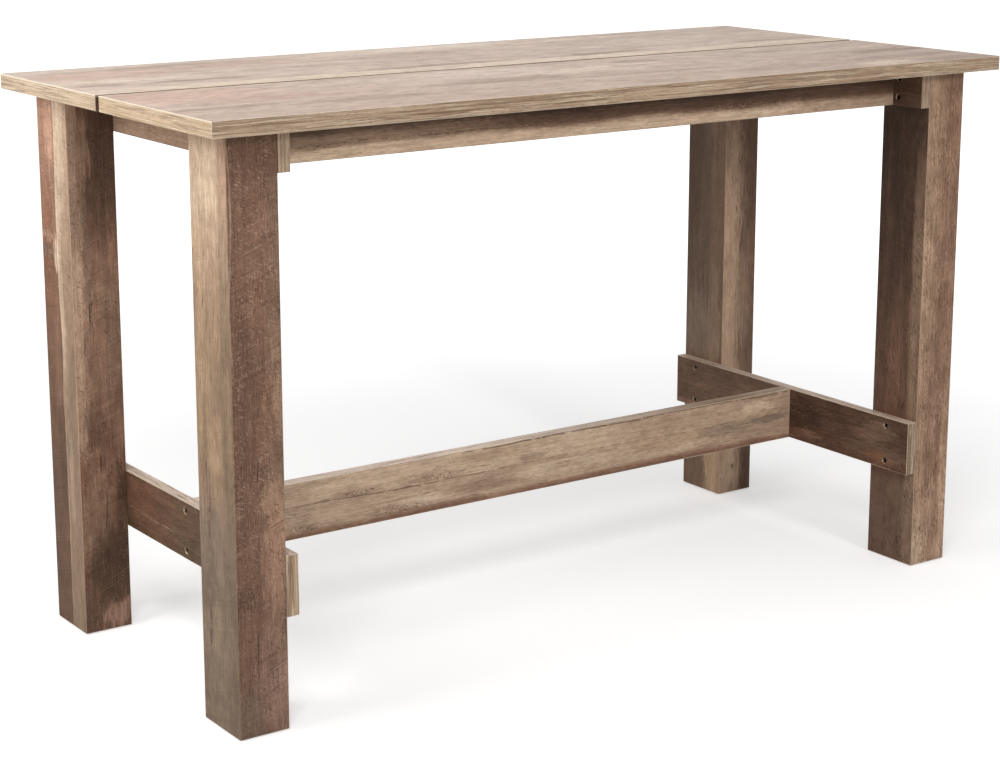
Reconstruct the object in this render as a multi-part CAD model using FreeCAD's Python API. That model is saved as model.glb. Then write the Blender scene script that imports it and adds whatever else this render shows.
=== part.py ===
"""Counter height table in printed board: a two-board top on four hollow box legs.

Millimetres. X runs along the table, Y from front to back, Z up. The origin is on
the floor, under the middle of the top.
"""
import FreeCAD, Part
import os

# Whole table
table_length = 1524.0
table_depth = 724.0
table_height = 914.0

# Top: two boards side by side with an open gap along the middle
top_thickness = 24.0
board_gap = 12.0
end_overhang = 41.0
side_overhang = 42.0

# Legs: hollow boxes of four mitred panels, on a plastic glide
leg_width = 82.0
leg_depth = 110.0
leg_panel = 12.0
leg_arris = 1.2
top_block_height = 100.0
middle_block_margin = 12.0
bottom_block_height = 60.0
glide_rise = 2.0
glide_diameter = 30.0
glide_pin_diameter = 4.0
glide_pin_length = 18.0

# Rails under the top
end_rail_thickness = 20.0
upper_rail_height = 62.0
long_rail_thickness = 24.0
long_rail_setback = 67.0
cross_rail_thickness = 20.0
cross_rail_height = 50.0

# Lower rails and the stretcher between them
lower_rail_height = 94.0
lower_rail_top = 268.0
stretcher_thickness = 25.0

# Edge bands glued to the cut edges of every board
band_thickness = 1.0
band_arris = 0.4

# Bolts, with their counterbored holes and the inserts and barrel nuts they screw into
bolt_diameter = 6.0
bolt_hole_diameter = 6.6
bolt_head_diameter = 10.0
bolt_head_height = 6.0
bolt_socket_width = 5.0
bolt_socket_depth = 3.5
counterbore_diameter = 12.0
counterbore_depth = 8.0
bolt_edge_inset = 14.5
leg_bolt_length = 30.0
stretcher_bolt_length = 55.0
bolt_tip_room = 3.0
thread_clearance = 0.15
insert_diameter = 10.0
insert_length = 16.0
barrel_diameter = 10.0
barrel_length = 18.0
barrel_setback = 35.0

# Cam fittings and wooden dowels at the ends of the long and cross rails
cam_diameter = 15.0
cam_setback = 34.0
cam_seat_below_axis = 4.0
cam_recess = 0.5
cam_slot_width = 2.0
cam_slot_depth = 2.5
cam_pin_diameter = 6.4
cam_neck_diameter = 4.0
cam_neck_length = 3.0
cam_head_length = 2.5
cam_stub_diameter = 5.0
cam_stub_length = 11.0
cam_axis_drop = 15.0
dowel_axis_drop = 34.0
dowel_diameter = 8.0
dowel_length = 30.0
dowel_depth = 10.5
fitting_clearance = 0.2
bore_end_room = 1.0

# Angle brackets that hold the top down on the rails
bracket_flange = 28.0
bracket_width = 20.0
bracket_thickness = 2.0
bracket_hole_diameter = 4.6
screw_diameter = 4.0
screw_head_diameter = 8.0
screw_head_height = 2.2
screw_length = 16.0
screw_slot_width = 1.0
screw_slot_depth = 1.0
bracket_hole_share = 0.6
long_rail_bracket_share = 0.5
end_rail_bracket_share = 0.4

# How far a cutter runs past the surface it opens
cut_overrun = 1.0

# Planes that the pieces share, worked out from the sizes above
top_end_x = table_length / 2
top_side_y = table_depth / 2
underside = table_height - top_thickness
leg_outer_x = top_end_x - end_overhang
leg_inner_x = leg_outer_x - leg_width
leg_outer_y = top_side_y - side_overhang
leg_inner_y = leg_outer_y - leg_depth
leg_centre_x = (leg_outer_x + leg_inner_x) / 2
leg_centre_y = (leg_outer_y + leg_inner_y) / 2
rail_inner_x = leg_inner_x - end_rail_thickness
long_rail_outer_y = leg_outer_y - long_rail_setback
long_rail_inner_y = long_rail_outer_y - long_rail_thickness
long_rail_centre_y = (long_rail_outer_y + long_rail_inner_y) / 2
upper_rail_bottom = underside - upper_rail_height
lower_rail_bottom = lower_rail_top - lower_rail_height
cross_rail_bottom = underside - cross_rail_height
upper_bolt_heights = (upper_rail_bottom + bolt_edge_inset, underside - bolt_edge_inset)
lower_bolt_heights = (lower_rail_bottom + bolt_edge_inset, lower_rail_top - bolt_edge_inset)
cam_axis_height = underside - cam_axis_drop
dowel_axis_height = underside - dowel_axis_drop

X = FreeCAD.Vector(1, 0, 0)
Y = FreeCAD.Vector(0, 1, 0)
Z = FreeCAD.Vector(0, 0, 1)
SIDES = (("left", -1), ("right", 1))
FACES = (("front", -1), ("back", 1))

nodes = {}


def slab(spans):
    """A box between the two values given for each axis, in either order."""
    low = FreeCAD.Vector(*[min(span) for span in spans])
    high = FreeCAD.Vector(*[max(span) for span in spans])
    return Part.makeBox(high.x - low.x, high.y - low.y, high.z - low.z, low)


def rod(diameter, start, direction, length):
    """A round bar that starts at a point and runs along a direction."""
    return Part.makeCylinder(diameter / 2, length, start, direction)


def aimed(shape, point, direction):
    """The shape with its own +Z turned to the direction and its origin at the point."""
    turn = FreeCAD.Rotation(Z, direction)
    placed = shape.copy()
    placed.Placement = FreeCAD.Placement(point, turn)
    return placed


def add(name, *solids):
    nodes.setdefault(name, []).extend(solids)


def drill(names, cutter):
    """Cuts one tool out of every solid of the named nodes."""
    for name in names:
        nodes[name] = [left for solid in nodes[name] for left in solid.cut(cutter).Solids]


def board_edges(solid, spans):
    """The edges of a solid that lie along an arris of the whole board."""
    def on_planes(point):
        values = (point.x, point.y, point.z)
        planes = [(axis, limit) for axis in range(3) for limit in spans[axis]]
        return {plane for plane in planes if abs(values[plane[0]] - plane[1]) < band_arris / 10}
    edges = []
    for edge in solid.Edges:
        shared = on_planes(edge.Vertexes[0].Point) & on_planes(edge.Vertexes[-1].Point)
        if len(shared) >= 2:
            edges.append(edge)
    return edges


def banded_board(name, spans, long_axis, cross_axis):
    """A board core with a band on each of its four edges.

    The bands on the long edges run the whole length, and the end bands fit between them.
    """
    core = [sorted(span) for span in spans]
    whole = [sorted(span) for span in spans]
    core[cross_axis] = [core[cross_axis][0] + band_thickness, core[cross_axis][1] - band_thickness]
    between = [list(span) for span in core]
    core[long_axis] = [core[long_axis][0] + band_thickness, core[long_axis][1] - band_thickness]
    add(name, slab(core))
    for end in (0, 1):
        inward = 1 if end == 0 else -1
        long_edge = [list(span) for span in whole]
        outer = whole[cross_axis][end]
        long_edge[cross_axis] = [outer, outer + inward * band_thickness]
        board_end = [list(span) for span in between]
        outer = whole[long_axis][end]
        board_end[long_axis] = [outer, outer + inward * band_thickness]
        for spans_of_band in (long_edge, board_end):
            band = slab(spans_of_band)
            band = band.makeChamfer(band_arris, board_edges(band, whole))
            add(name + "_bands", band.Solids[0])


# Top boards, front and back of the open gap
for face, sy in FACES:
    banded_board(
        f"top_board_{face}",
        [[-top_end_x, top_end_x], [sy * board_gap / 2, sy * top_side_y], [underside, table_height]],
        long_axis=0,
        cross_axis=1,
    )


def leg_panel_outline(half_face, half_side):
    """Plan of one mitred panel whose outer face looks along +Y, with eased outer corners."""
    facet = leg_arris / 2
    right_half = [
        (half_face - leg_arris, half_side),
        (half_face - facet, half_side - facet),
        (half_face - leg_panel, half_side - leg_panel),
    ]
    left_half = [(-x, y) for x, y in reversed(right_half)]
    return right_half + left_half


def leg_panel_solid(half_face, half_side, quarter_turns, centre):
    """The panel standing on the leg's foot line, turned to its face of the leg."""
    outline = leg_panel_outline(half_face, half_side)
    corners = [FreeCAD.Vector(x, y, 0) for x, y in outline + outline[:1]]
    panel = Part.Face(Part.makePolygon(corners)).extrude(Z * (underside - glide_rise))
    panel.rotate(FreeCAD.Vector(0, 0, 0), Z, quarter_turns * 90)
    panel.translate(centre)
    return panel


# Legs: front, back, inner and outer panels round three glued blocks
cavity_half_x = leg_width / 2 - leg_panel
cavity_half_y = leg_depth / 2 - leg_panel
for side, sx in SIDES:
    for face, sy in FACES:
        leg = f"leg_{face}_{side}"
        centre = FreeCAD.Vector(sx * leg_centre_x, sy * leg_centre_y, glide_rise)
        half_x = leg_width / 2
        half_y = leg_depth / 2
        add(leg + "_back_panel", leg_panel_solid(half_x, half_y, 0, centre))
        add(leg + "_front_panel", leg_panel_solid(half_x, half_y, 2, centre))
        left_panel = leg_panel_solid(half_y, half_x, 1, centre)
        right_panel = leg_panel_solid(half_y, half_x, 3, centre)
        add(leg + "_outer_panel", left_panel if sx < 0 else right_panel)
        add(leg + "_inner_panel", right_panel if sx < 0 else left_panel)
        block_heights = {
            "top": (underside - top_block_height, underside),
            "middle": (lower_rail_bottom - middle_block_margin, lower_rail_top + middle_block_margin),
            "bottom": (glide_rise, glide_rise + bottom_block_height),
        }
        for level, heights in block_heights.items():
            xs = [centre.x - cavity_half_x, centre.x + cavity_half_x]
            ys = [centre.y - cavity_half_y, centre.y + cavity_half_y]
            add(f"{leg}_{level}_block", slab([xs, ys, heights]))

        # Glide pressed into the bottom block by its pin
        foot = FreeCAD.Vector(centre.x, centre.y, 0)
        disc = rod(glide_diameter, foot, Z, glide_rise)
        pin = rod(glide_pin_diameter, foot, Z, glide_rise + glide_pin_length)
        add("foot_glides", disc.fuse(pin).removeSplitter())
        bore = rod(
            glide_pin_diameter + 2 * fitting_clearance,
            foot,
            Z,
            glide_rise + glide_pin_length + bore_end_room,
        )
        drill([leg + "_bottom_block"], bore)

# End rails on the inner faces of the legs, flush with the legs front and back
for side, sx in SIDES:
    rail_x = [sx * rail_inner_x, sx * leg_inner_x]
    rail_y = [-leg_outer_y, leg_outer_y]
    banded_board(
        f"upper_end_rail_{side}", [rail_x, rail_y, [upper_rail_bottom, underside]], 1, 2
    )
    banded_board(
        f"lower_end_rail_{side}", [rail_x, rail_y, [lower_rail_bottom, lower_rail_top]], 1, 2
    )

# Long rails under the top, between the upper end rails
for face, sy in FACES:
    banded_board(
        f"upper_long_rail_{face}",
        [
            [-rail_inner_x, rail_inner_x],
            [sy * long_rail_inner_y, sy * long_rail_outer_y],
            [upper_rail_bottom, underside],
        ],
        0,
        2,
    )

# Stretcher between the lower end rails, on the middle line of the table
banded_board(
    "stretcher",
    [
        [-rail_inner_x, rail_inner_x],
        [-stretcher_thickness / 2, stretcher_thickness / 2],
        [lower_rail_bottom, lower_rail_top],
    ],
    0,
    2,
)

# Plain cross rail that carries both top boards in the middle
add(
    "upper_cross_rail",
    slab([
        [-cross_rail_thickness / 2, cross_rail_thickness / 2],
        [-long_rail_inner_y, long_rail_inner_y],
        [cross_rail_bottom, underside],
    ]),
)


def bolt(length):
    """Socket head bolt: the head's seat is at the origin and the shank runs up +Z."""
    head = Part.makeCylinder(
        bolt_head_diameter / 2, bolt_head_height, FreeCAD.Vector(0, 0, -bolt_head_height)
    )
    shank = Part.makeCylinder(bolt_diameter / 2, length)
    corner_radius = bolt_socket_width / 3 ** 0.5
    corners = []
    for step in range(7):
        turn = FreeCAD.Rotation(Z, step * 60)
        corners.append(turn.multVec(FreeCAD.Vector(corner_radius, 0, -bolt_head_height)))
    socket = Part.Face(Part.makePolygon(corners)).extrude(Z * bolt_socket_depth)
    return head.fuse(shank).removeSplitter().cut(socket).Solids[0]


def bolt_hole(thickness):
    """Cutter for a counterbored hole: the board's outer face is at the origin, +Z goes in."""
    wide = Part.makeCylinder(
        counterbore_diameter / 2,
        counterbore_depth + cut_overrun,
        FreeCAD.Vector(0, 0, -cut_overrun),
    )
    through = Part.makeCylinder(bolt_hole_diameter / 2, thickness + cut_overrun)
    return wide.fuse(through)


def threaded_insert():
    """Sleeve in the leg: its mouth is at the origin and it runs up +Z."""
    sleeve = Part.makeCylinder(insert_diameter / 2, insert_length)
    bore_radius = bolt_diameter / 2 + thread_clearance
    bore = Part.makeCylinder(
        bore_radius, insert_length + 2 * cut_overrun, FreeCAD.Vector(0, 0, -cut_overrun)
    )
    return sleeve.cut(bore)


# Bolts from the end rails into inserts in the legs, two for each rail end
bolt_reach = leg_bolt_length - (end_rail_thickness - counterbore_depth)
for side, sx in SIDES:
    for face, sy in FACES:
        leg = f"leg_{face}_{side}"
        levels = (
            (f"upper_end_rail_{side}", leg + "_top_block", upper_bolt_heights),
            (f"lower_end_rail_{side}", leg + "_middle_block", lower_bolt_heights),
        )
        for rail, block, heights in levels:
            for height in heights:
                into_leg = X * sx
                rail_face = FreeCAD.Vector(sx * rail_inner_x, sy * leg_centre_y, height)
                leg_face = FreeCAD.Vector(sx * leg_inner_x, sy * leg_centre_y, height)
                drill([rail], aimed(bolt_hole(end_rail_thickness), rail_face, into_leg))
                seat = rail_face + into_leg * counterbore_depth
                add("leg_bolts", aimed(bolt(leg_bolt_length), seat, into_leg))
                add("leg_inserts", aimed(threaded_insert(), leg_face, into_leg))
                sleeve_bore = rod(
                    insert_diameter + 2 * fitting_clearance, leg_face, into_leg, insert_length
                )
                tip_bore = rod(bolt_hole_diameter, leg_face, into_leg, bolt_reach + bolt_tip_room)
                drill([leg + "_inner_panel", block], sleeve_bore.fuse(tip_bore))

# Bolts through the lower end rails into barrel nuts set in the back of the stretcher
barrel_bore_depth = (stretcher_thickness + barrel_length) / 2
for side, sx in SIDES:
    for height in lower_bolt_heights:
        inward = X * -sx
        rail_face = FreeCAD.Vector(sx * leg_inner_x, 0, height)
        drill([f"lower_end_rail_{side}"], aimed(bolt_hole(end_rail_thickness), rail_face, inward))
        seat = rail_face + inward * counterbore_depth
        add("stretcher_bolts", aimed(bolt(stretcher_bolt_length), seat, inward))
        stretcher_end = FreeCAD.Vector(sx * rail_inner_x, 0, height)
        shank_reach = stretcher_bolt_length - (end_rail_thickness - counterbore_depth)
        shank_bore = rod(bolt_hole_diameter, stretcher_end, inward, shank_reach + bolt_tip_room)
        nut_mouth = stretcher_end + inward * barrel_setback + Y * (stretcher_thickness / 2)
        nut_bore = rod(
            barrel_diameter + 2 * fitting_clearance, nut_mouth, -Y, barrel_bore_depth
        )
        drill(["stretcher", "stretcher_bands"], shank_bore)
        drill(["stretcher"], nut_bore)
        nut_end = stretcher_end + inward * barrel_setback + Y * (barrel_length / 2)
        nut = rod(barrel_diameter, nut_end, -Y, barrel_length)
        thread_start = nut_end - Y * (barrel_length / 2) + X * barrel_diameter
        thread = rod(bolt_diameter + 2 * thread_clearance, thread_start, -X, 2 * barrel_diameter)
        add("barrel_nuts", nut.cut(thread))


def cam_dowel():
    """Threaded stub down -Z into the joined board, pin and head up +Z into the cam."""
    pin_length = cam_setback - cam_neck_length - cam_head_length / 2
    stub = Part.makeCylinder(
        cam_stub_diameter / 2, cam_stub_length, FreeCAD.Vector(0, 0, -cam_stub_length)
    )
    pin = Part.makeCylinder(cam_pin_diameter / 2, pin_length)
    neck_start = FreeCAD.Vector(0, 0, pin_length)
    neck = Part.makeCylinder(cam_neck_diameter / 2, cam_neck_length, neck_start)
    head_start = FreeCAD.Vector(0, 0, pin_length + cam_neck_length)
    head = Part.makeCylinder(cam_pin_diameter / 2, cam_head_length, head_start)
    return stub.fuse([pin, neck, head]).removeSplitter().Solids[0]


def cam_lock(length):
    """Drum with a cross slot for the screwdriver in the face at its origin, body up +Z."""
    diameter = cam_diameter - 2 * fitting_clearance
    drum = Part.makeCylinder(diameter / 2, length)
    long_way = [-diameter / 2, diameter / 2]
    narrow_way = [-cam_slot_width / 2, cam_slot_width / 2]
    deep = [-cut_overrun, cam_slot_depth]
    cross = slab([long_way, narrow_way, deep]).fuse(slab([narrow_way, long_way, deep]))
    return drum.cut(cross)


def with_bands(name):
    """A board's node and, where it has one, the node of its edge bands."""
    return [node for node in (name, name + "_bands") if node in nodes]


def cam_joint(joined, rail, butt, along, face_normal, thickness):
    """Cam fitting that pulls a rail's end up to another board.

    The butt point is on the pin's axis where the two meet, along points into the rail,
    and the cam sits in the face of the rail that the normal names.
    """
    pin_bore = rod(
        cam_pin_diameter + 2 * fitting_clearance, butt, along, cam_setback + cam_head_length
    )
    stub_bore = rod(
        cam_stub_diameter + 2 * fitting_clearance, butt, -along, cam_stub_length + bore_end_room
    )
    mouth = butt + along * cam_setback + face_normal * (thickness / 2)
    depth = thickness / 2 + cam_seat_below_axis
    drill(with_bands(rail), pin_bore.fuse(rod(cam_diameter, mouth, -face_normal, depth)))
    drill(with_bands(joined), stub_bore)
    add("cam_dowels", aimed(cam_dowel(), butt, along))
    lock = aimed(cam_lock(depth - cam_recess), mouth - face_normal * cam_recess, -face_normal)
    add("cam_locks", *lock.cut(pin_bore).Solids)


def dowel_joint(shallow, deep, point, direction):
    """Dowel across a joint plane: the direction points into the piece that holds most of it."""
    bore_diameter = dowel_diameter + 2 * fitting_clearance
    shallow_bore = rod(bore_diameter, point, -direction, dowel_depth + bore_end_room)
    deep_bore = rod(bore_diameter, point, direction, dowel_length - dowel_depth + bore_end_room)
    drill(with_bands(shallow), shallow_bore)
    drill(with_bands(deep), deep_bore)
    add("wood_dowels", rod(dowel_diameter, point - direction * dowel_depth, direction, dowel_length))


# Long rails to end rails, and cross rail to long rails: a cam fitting over a dowel
for face, sy in FACES:
    rail = f"upper_long_rail_{face}"
    for side, sx in SIDES:
        joined = f"upper_end_rail_{side}"
        cam_point = FreeCAD.Vector(sx * rail_inner_x, sy * long_rail_centre_y, cam_axis_height)
        dowel_point = FreeCAD.Vector(sx * rail_inner_x, sy * long_rail_centre_y, dowel_axis_height)
        cam_joint(joined, rail, cam_point, X * -sx, Y * -sy, long_rail_thickness)
        dowel_joint(joined, rail, dowel_point, X * -sx)
    cam_point = FreeCAD.Vector(0, sy * long_rail_inner_y, cam_axis_height)
    dowel_point = FreeCAD.Vector(0, sy * long_rail_inner_y, dowel_axis_height)
    cam_joint(rail, "upper_cross_rail", cam_point, Y * -sy, -X, cross_rail_thickness)
    dowel_joint(rail, "upper_cross_rail", dowel_point, Y * -sy)

# Dowel in the head of each leg, which locates the top board
for side, sx in SIDES:
    for face, sy in FACES:
        leg_head = FreeCAD.Vector(sx * leg_centre_x, sy * leg_centre_y, underside)
        dowel_joint(f"top_board_{face}", f"leg_{face}_{side}_top_block", leg_head, -Z)


def angle_bracket():
    """Steel angle under the top: one flange hangs on a rail that faces +X, its corner at the origin."""
    across = [-bracket_width / 2, bracket_width / 2]
    hanging = slab([[0, bracket_thickness], across, [-bracket_flange, 0]])
    lying = slab([[0, bracket_flange], across, [-bracket_thickness, 0]])
    reach = bracket_flange * bracket_hole_share
    through = bracket_thickness + 2 * cut_overrun
    rail_hole = rod(bracket_hole_diameter, FreeCAD.Vector(-cut_overrun, 0, -reach), X, through)
    top_hole = rod(bracket_hole_diameter, FreeCAD.Vector(reach, 0, cut_overrun), -Z, through)
    return hanging.fuse(lying).removeSplitter().cut([rail_hole, top_hole]).Solids[0]


def screw():
    """Pan head screw: the head's seat is at the origin and the shank runs up +Z."""
    head = Part.makeCylinder(
        screw_head_diameter / 2, screw_head_height, FreeCAD.Vector(0, 0, -screw_head_height)
    )
    shank = Part.makeCylinder(screw_diameter / 2, screw_length)
    long_way = [-screw_head_diameter / 2, screw_head_diameter / 2]
    narrow_way = [-screw_slot_width / 2, screw_slot_width / 2]
    slot = slab([long_way, narrow_way, [-screw_head_height, screw_slot_depth - screw_head_height]])
    return head.fuse(shank).removeSplitter().cut(slot).Solids[0]


def fix_top(rail, board, corner, facing, quarter_turns):
    """Bracket in the corner between a rail's face and the top, with a screw into each."""
    bracket = angle_bracket()
    bracket.rotate(FreeCAD.Vector(0, 0, 0), Z, quarter_turns * 90)
    bracket.translate(corner)
    add("angle_brackets", bracket)
    reach = bracket_flange * bracket_hole_share
    pilot_diameter = screw_diameter + 2 * thread_clearance
    pilot_length = screw_length + bore_end_room
    rail_seat = corner + facing * bracket_thickness - Z * reach
    top_seat = corner + facing * reach - Z * bracket_thickness
    for name, seat, direction in ((rail, rail_seat, -facing), (board, top_seat, Z)):
        add("bracket_screws", aimed(screw(), seat, direction))
        drill([name], rod(pilot_diameter, seat, direction, pilot_length))


# Top boards down on the rails: brackets on the long rails, the end rails and the cross rail
long_bracket_x = long_rail_bracket_share * rail_inner_x
end_bracket_y = end_rail_bracket_share * long_rail_inner_y
for face, sy in FACES:
    board = f"top_board_{face}"
    for side, sx in SIDES:
        corner = FreeCAD.Vector(sx * long_bracket_x, sy * long_rail_inner_y, underside)
        fix_top(f"upper_long_rail_{face}", board, corner, Y * -sy, 2 + sy)
        corner = FreeCAD.Vector(sx * rail_inner_x, sy * end_bracket_y, underside)
        fix_top(f"upper_end_rail_{side}", board, corner, X * -sx, 1 + sx)
    corner = FreeCAD.Vector(cross_rail_thickness / 2, sy * end_bracket_y, underside)
    fix_top("upper_cross_rail", board, corner, X, 0)

os.makedirs("parts", exist_ok=True)
for name, solids in nodes.items():
    shape = solids[0] if len(solids) == 1 else Part.makeCompound(solids)
    shape.exportStep(f"parts/{name}.step")
print(len(nodes), "nodes,", sum(len(solids) for solids in nodes.values()), "solids")
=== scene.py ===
"""The looks of a counter height table in printed board.

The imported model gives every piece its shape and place, in metres, with X along the table,
Y from front to back and Z up. This script gives each piece its finish, in the order in
which the table is put together, and lights it in a plain white studio.
"""
import math
import random

import bmesh
import bpy
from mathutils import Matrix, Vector


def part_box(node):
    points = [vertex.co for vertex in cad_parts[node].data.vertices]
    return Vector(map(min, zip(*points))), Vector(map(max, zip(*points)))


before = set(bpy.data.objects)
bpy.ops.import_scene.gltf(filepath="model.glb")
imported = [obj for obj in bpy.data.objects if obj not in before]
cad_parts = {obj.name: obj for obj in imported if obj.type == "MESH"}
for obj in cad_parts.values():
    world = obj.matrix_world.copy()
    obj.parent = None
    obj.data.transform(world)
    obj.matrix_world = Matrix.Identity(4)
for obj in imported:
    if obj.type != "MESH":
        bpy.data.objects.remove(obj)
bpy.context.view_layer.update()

# Leg blocks
# Three blocks of raw particle board in each leg, one at the top, one behind the lower rails and
# one at the foot. They are sawn to size, left bare and glued to the leg's panels.

MILLIMETRES = 1000


def paint(card):
    """A paint card's six hex digits as the linear colour that a shader takes."""
    parts = [int(card[i:i + 2], 16) / 255 for i in (0, 2, 4)]
    return [c / 12.92 if c <= 0.04045 else ((c + 0.055) / 1.055) ** 2.4 for c in parts] + [1.0]


class Finish:
    """One material, made a node at a time on the piece's own coordinates, in millimetres."""

    def __init__(self, name, roughness=0.5, metallic=0.0, specular=0.3):
        self.material = bpy.data.materials.new(name)
        self.material.use_nodes = True
        self.nodes = self.material.node_tree.nodes
        self.links = self.material.node_tree.links
        self.shader = self.nodes["Principled BSDF"]
        self.shader.inputs["Roughness"].default_value = roughness
        self.shader.inputs["Metallic"].default_value = metallic
        self.shader.inputs["Specular IOR Level"].default_value = specular
        metres = self.add("TexCoord").node.outputs["Object"]
        self.place = self.add("VectorMath", metres, [MILLIMETRES] * 3, operation="MULTIPLY")

    def add(self, kind, *inputs, out=0, **settings):
        """Adds a node, links or sets its inputs in order, and gives one of its outputs."""
        node = self.nodes.new("ShaderNode" + kind)
        for name, value in settings.items():
            setattr(node, name, value)
        for socket, value in zip(node.inputs, inputs):
            if isinstance(value, bpy.types.NodeSocket):
                self.links.new(value, socket)
            elif value is not None:
                socket.default_value = value
        return node.outputs[out]

    def math(self, operation, *values):
        return self.add("Math", *values, operation=operation)

    def noise(self, long, wide, detail=3, rough=0.5, seed=0, place=None, out=0):
        """Noise with marks about long by wide mm, drawn out along the piece's first coordinate.

        Every seed cuts it from another place.
        """
        cut_from = (seed * 3.7, seed * 7.3, seed * 1.9)
        drawn_out = self.add("VectorMath", place or self.place, (1 / long, 1 / wide, 1 / wide),
                             cut_from, operation="MULTIPLY_ADD")
        return self.add("TexNoise", drawn_out, None, 1.0, detail, rough, out=out)

    def step(self, value, low, high, to_low=0.0, to_high=1.0):
        """A soft step from to_low to to_high as value goes from low to high."""
        return self.add("MapRange", value, low, high, to_low, to_high,
                        interpolation_type="SMOOTHSTEP")

    def mix(self, share, under, over, blend="MIX"):
        return self.add("Mix", share, None, None, None, None, None, under, over, out=2,
                        data_type="RGBA", blend_type=blend)

    def tint(self, share, card):
        """Lays a paint card over the colour so far."""
        self.colour = self.mix(share, self.colour, paint(card))

    def ramp(self, value, *cards):
        """Runs paint cards over a noise value, from its low marks to its high ones."""
        lowest, highest = 0.32, 0.68
        colour = self.add("ValToRGB", value)
        stops = colour.node.color_ramp.elements
        stops[0].position, stops[1].position = lowest, highest
        stops[0].color, stops[1].color = paint(cards[0]), paint(cards[-1])
        for i, card in enumerate(cards[1:-1], 1):
            place = lowest + (highest - lowest) * i / (len(cards) - 1)
            stops.new(place).color = paint(card)
        return colour

    def roughen(self, value, low, high):
        self.links.new(self.step(value, 0.3, 0.7, low, high), self.shader.inputs["Roughness"])

    def emboss(self, height, strength, depth_mm):
        """Raises and sinks the surface by a height from 0 to 1, over a real depth."""
        bump = self.add("Bump").node
        bump.inputs["Strength"].default_value = strength
        bump.inputs["Distance"].default_value = depth_mm / MILLIMETRES
        self.links.new(height, bump.inputs["Height"])
        self.links.new(bump.outputs[0], self.shader.inputs["Normal"])

    def dress(self, *names):
        """Puts this finish on the named pieces of the model."""
        self.links.new(self.colour, self.shader.inputs["Base Color"])
        for name in names:
            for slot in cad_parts[name].material_slots:
                slot.material = self.material


def raw_board_colour(finish):
    """Pressed wood chips: straw and brown flakes with dark glue between them."""
    flakes = finish.add("TexVoronoi", finish.place, None, 0.45, out=1)
    tone = finish.add("SeparateXYZ", flakes)
    speckle = finish.noise(1.4, 1.4, detail=4, rough=0.7, seed=2)
    both = finish.math("ADD", *(finish.math("MULTIPLY", half, 0.5) for half in (tone, speckle)))
    return finish.ramp(both, "9C8260", "CBB08A", "E0CAA6", "EEDDBE")


raw_board = Finish("raw_particle_board", roughness=0.8, specular=0.2)
raw_board.colour = raw_board_colour(raw_board)
raw_board.emboss(raw_board.noise(1.5, 1.5, detail=3), 0.5, 0.3)
LEGS = ("front_left", "front_right", "back_left", "back_right")
BLOCKS = ("top", "middle", "bottom")
raw_board.dress(*(f"leg_{leg}_{block}_block" for leg in LEGS for block in BLOCKS))

# Foot glides
# A turned nylon disc under each leg, nailed up into the bottom block by its own pin, so that the
# raw board stands clear of the floor.

glide = Finish("glide_nylon", roughness=0.55)
glide.colour = glide.ramp(glide.noise(6, 6, detail=4), "1B1917", "2A2724", "332F2B")
glide.emboss(glide.noise(0.8, 0.8), 0.3, 0.1)
glide.dress("foot_glides")

# Leg panels
# Four boards mitred and glued into a box make each leg. A matt paper printed as weathered planks
# is folded over the corners, where it shows a thin pale line, partly worn paper and partly a
# painted highlight, and the ends stay raw.

CREAM, SAND, FAWN, TAUPE = "DEC8AE", "BCA088", "9B806A", "856D5B"
RUSSET, WALNUT, UMBER, BARK = "936F5B", "765A4A", "5A4538", "352820"
SLATE, ROSE, STRAW = "70645A", "B28F7C", "AE9375"

# The widest part of a surface's normal is under ROUND on a worn, highlit corner and over FLAT on a face
ROUND, FLAT = 0.9, 0.97
# Patches go right through a board, and the wall of a hole counts as lying inside it
ENDLESS = 1e4
HOLE_SLACK = 0.06


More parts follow.
